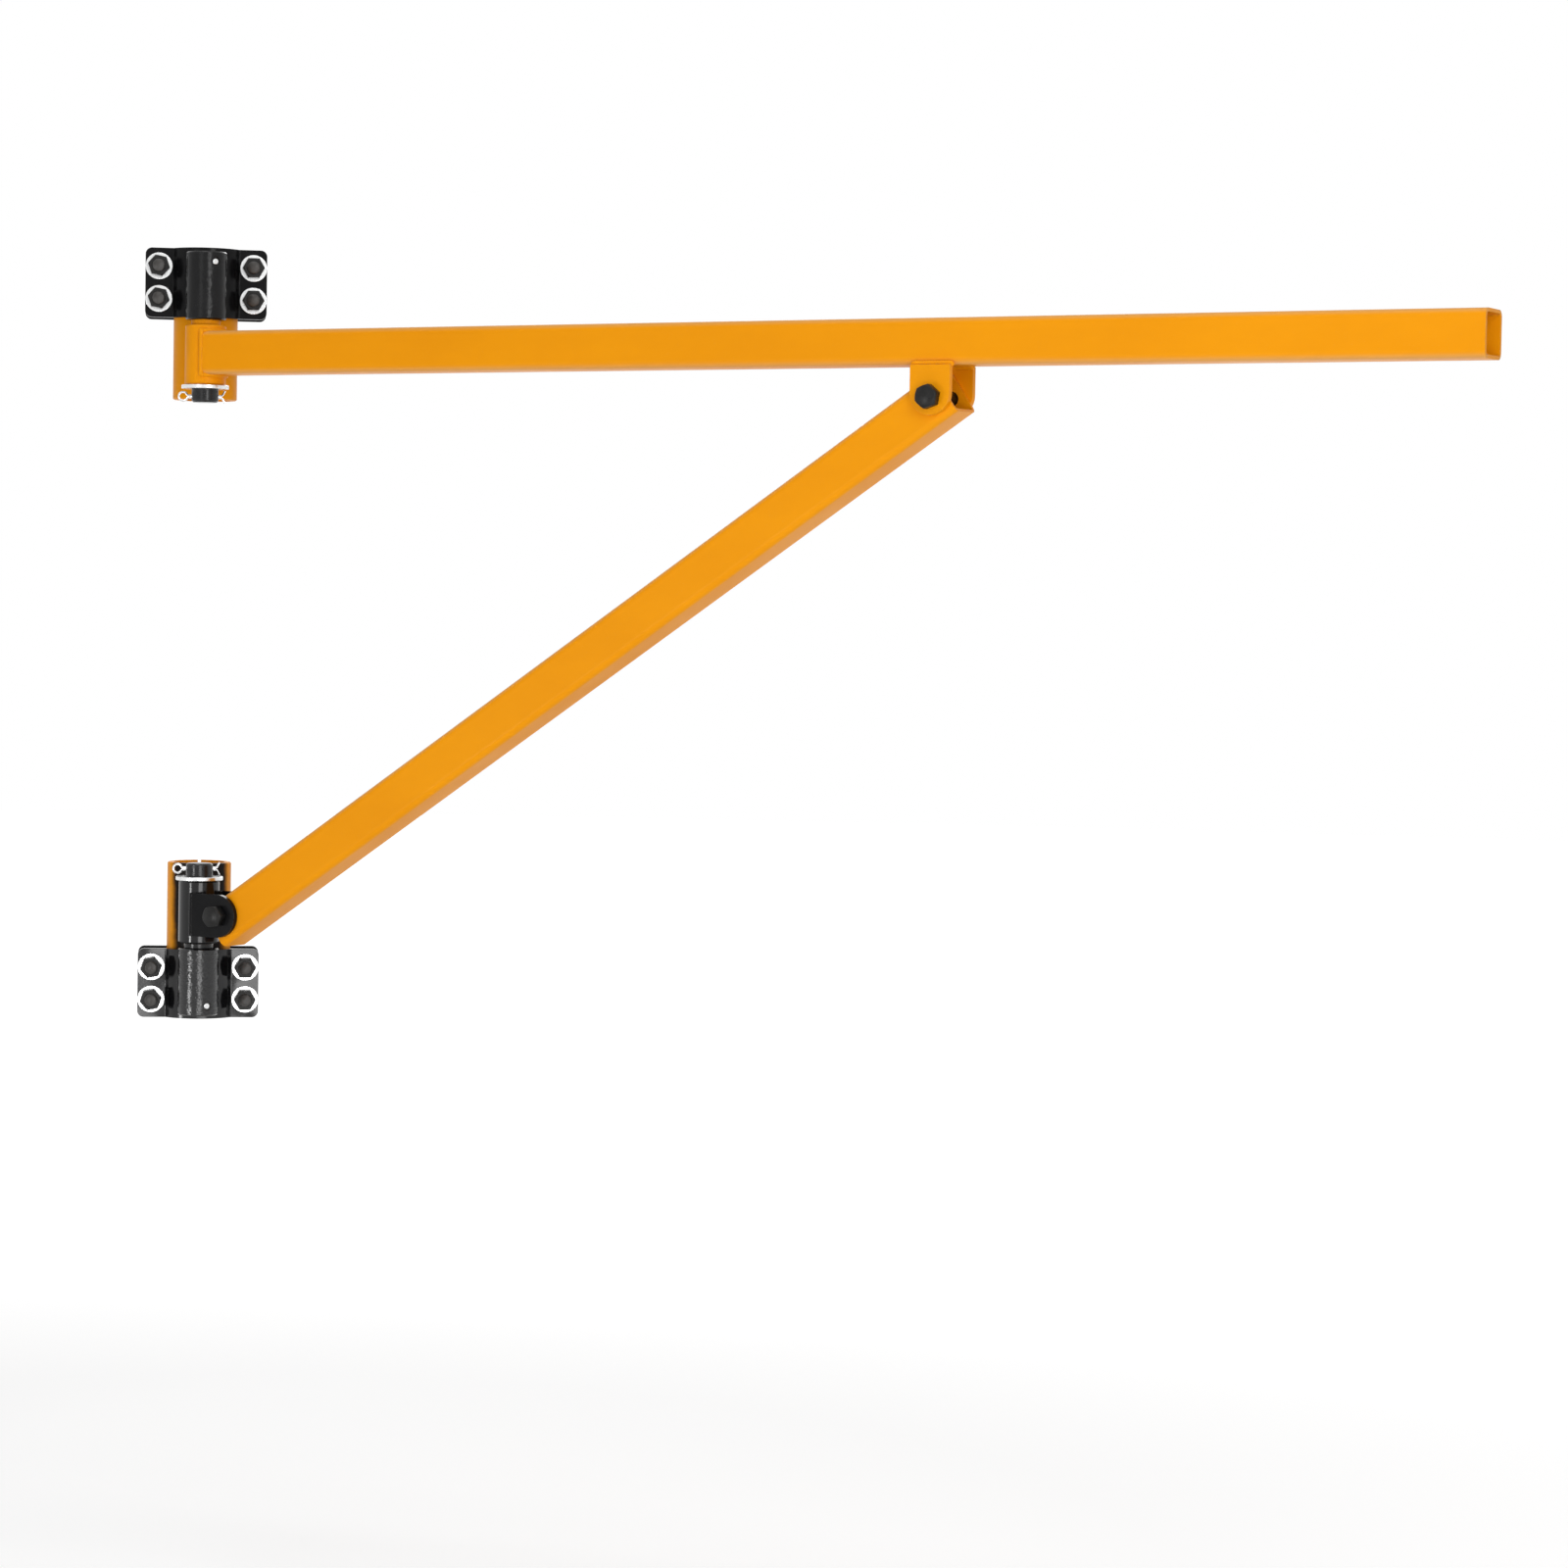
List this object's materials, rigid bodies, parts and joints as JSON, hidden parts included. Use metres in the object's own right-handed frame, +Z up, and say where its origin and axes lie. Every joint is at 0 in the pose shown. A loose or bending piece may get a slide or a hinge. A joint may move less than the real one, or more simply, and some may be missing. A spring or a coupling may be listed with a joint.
{
  "type": "swing-arm bracket for a hoist",
  "caption": "Pole-mounted swing-arm bracket for a mini electric hoist: square-tube arm and diagonal brace that turn on pins held by two bolted pole clamps.",
  "frame": {"origin": "on the pole's axis, level with the middle of the arm, inside the upper pole sleeve", "axes": "+Z up along the pole, +X along the arm at rest, towards its open end"},
  "size_m": [1.3429, 0.1339, 0.7257],
  "materials": {
    "orange_paint": "gloss paint on steel",
    "black_paint": "gloss black paint on steel",
    "dark_steel": "black finish on steel",
    "black_oxide": "black oxide fasteners",
    "zinc": "bright zinc plate",
    "bush": "plain bronze bush"
  },
  "bodies": {
    "pole_clamps": {"upper_pole_sleeve": "orange_paint", "upper_clamp_front": "black_paint", "upper_clamp_back": "black_paint", "upper_hinge_tube": "black_paint", "upper_tube_welds": "black_paint", "upper_pivot_pin": "dark_steel", "upper_lock_pin": "zinc", "upper_thrust_ring": "dark_steel", "upper_pin_washer": "zinc", "upper_split_pin": "zinc", "upper_clamp_bolts": "black_oxide", "upper_clamp_nuts": "black_oxide", "upper_clamp_washers": "zinc", "lower_pole_sleeve": "orange_paint", "lower_clamp_front": "black_paint", "lower_clamp_back": "black_paint", "lower_hinge_tube": "black_paint", "lower_tube_welds": "black_paint", "lower_pivot_pin": "dark_steel", "lower_lock_pin": "zinc", "lower_thrust_ring": "dark_steel", "lower_pin_washer": "zinc", "lower_split_pin": "zinc", "lower_clamp_bolts": "black_oxide", "lower_clamp_nuts": "black_oxide", "lower_clamp_washers": "zinc"},
    "swing_arm": {"arm_tube": "orange_paint", "arm_hinge_sleeve": "orange_paint", "arm_hinge_bushes": "bush", "arm_root_weld": "orange_paint", "arm_lug_front": "orange_paint", "arm_lug_rear": "orange_paint", "arm_lug_welds": "orange_paint", "brace_tube": "orange_paint", "brace_hinge_sleeve": "black_paint", "brace_hinge_bushes": "bush", "brace_ear_front": "black_paint", "brace_ear_rear": "black_paint", "brace_ear_welds": "black_paint", "brace_bolts": "black_oxide", "brace_nuts": "black_oxide", "brace_washers": "black_oxide"}
  },
  "joints": [
    {"name": "swing", "type": "hinge", "parent": "pole_clamps", "child": "swing_arm", "pos_m": [0.03239, -0.04458, 0], "axis": [0, 0, 1], "range_deg": [-144, 36]}
  ]
}
